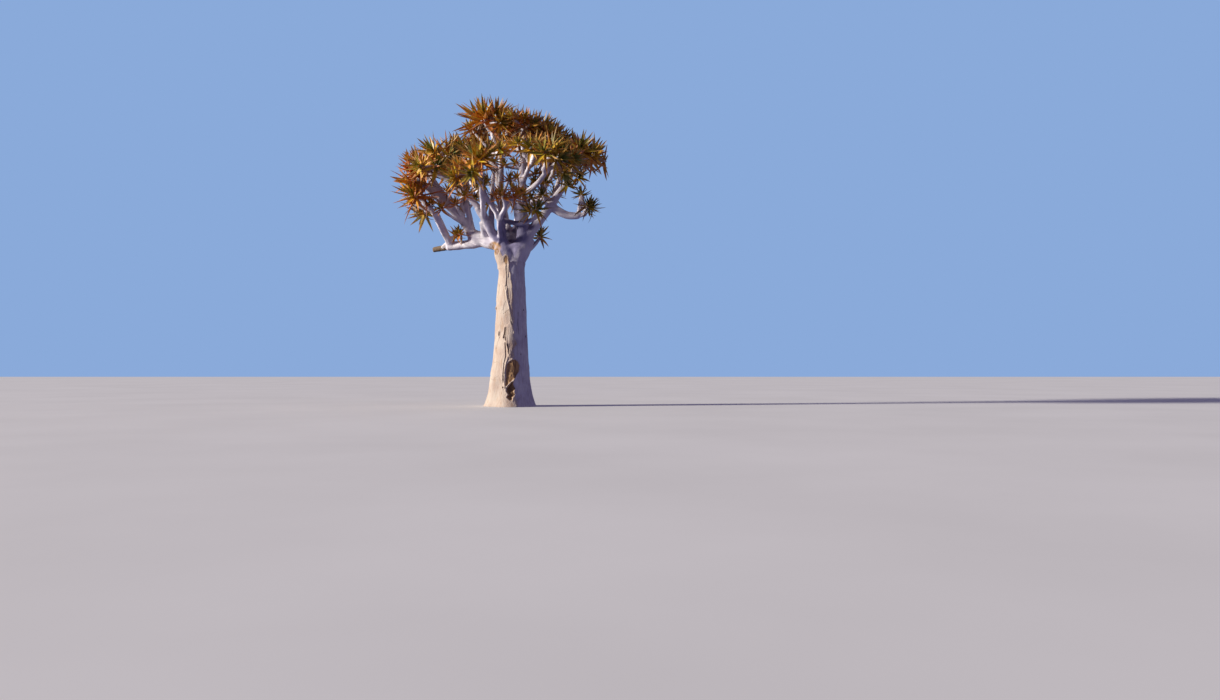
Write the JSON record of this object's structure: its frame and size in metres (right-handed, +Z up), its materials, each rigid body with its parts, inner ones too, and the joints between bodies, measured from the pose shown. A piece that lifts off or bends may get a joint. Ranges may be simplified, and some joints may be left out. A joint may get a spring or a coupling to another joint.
{
  "type": "kokerboom tree",
  "caption": "Stout-trunked succulent tree with a flaking tapered trunk, smooth pale forking boughs and a rounded crown of spiky leaf rosettes, fixed by the flat cut at its foot.",
  "frame": {"origin": "middle of the flat cut under the trunk, at ground level", "axes": "+Z up along the trunk, +X to the right and +Y to the back as the picture shows the tree"},
  "size_m": [3.0641, 2.3859, 4.3904],
  "materials": {
    "trunk_bark": "rough peach-cream bark that splits into smooth plates, lilac-grey on the shaded side",
    "bough_bark": "smooth powdery bark, whitish to lilac-grey",
    "dead_wood": "weathered grey-brown broken wood",
    "golden_leaves": "waxy leaves, golden to orange-brown with yellow-green hearts",
    "green_leaves": "waxy leaves, olive green with darker old leaves below"
  },
  "bodies": {
    "root": {"trunk": "trunk_bark", "dead_stub": "dead_wood", "left_bough": "bough_bark", "left_rising_bough": "bough_bark", "left_thin_bough": "bough_bark", "left_upright_bough": "bough_bark", "left_low_bough": "bough_bark", "left_low_rising_bough": "bough_bark", "left_centre_bough": "bough_bark", "left_long_bough": "bough_bark", "left_front_bough": "bough_bark", "centre_bough": "bough_bark", "centre_right_bough": "bough_bark", "fork_bough": "bough_bark", "right_front_bough": "bough_bark", "right_bough": "bough_bark", "right_upright_bough": "bough_bark", "right_back_bough": "bough_bark", "right_low_bough": "bough_bark", "crossing_bough": "bough_bark", "front_bough": "bough_bark", "right_spur": "bough_bark", "back_left_bough": "bough_bark", "back_left_side_bough": "bough_bark", "back_right_bough": "bough_bark", "back_right_side_bough": "bough_bark", "left_low_crown": "green_leaves", "left_inner_crown": "green_leaves", "middle_green_crown": "green_leaves", "fork_crown": "green_leaves", "hanging_crown": "green_leaves", "right_inner_crown": "green_leaves", "right_shoulder_crown": "green_leaves", "right_back_crown": "green_leaves", "right_low_inner_crown": "green_leaves", "right_low_outer_crown": "green_leaves", "spur_crown": "green_leaves", "back_left_crown": "green_leaves", "back_right_side_crown": "green_leaves", "left_outer_crown": "golden_leaves", "left_orange_crown": "golden_leaves", "left_edge_crown": "golden_leaves", "left_shoulder_crown": "golden_leaves", "left_front_edge_crown": "golden_leaves", "golden_crown": "golden_leaves", "left_front_crown": "golden_leaves", "middle_golden_crown": "golden_leaves", "elbow_crown": "golden_leaves", "summit_crown": "golden_leaves", "summit_back_crown": "golden_leaves", "centre_small_crown": "golden_leaves", "top_crown": "golden_leaves", "top_back_crown": "golden_leaves", "fork_small_crown": "golden_leaves", "right_front_crown": "golden_leaves", "right_outer_crown": "golden_leaves", "right_upright_crown": "golden_leaves", "right_top_back_crown": "golden_leaves", "back_left_side_crown": "golden_leaves", "back_right_crown": "golden_leaves"}
  },
  "joints": []
}
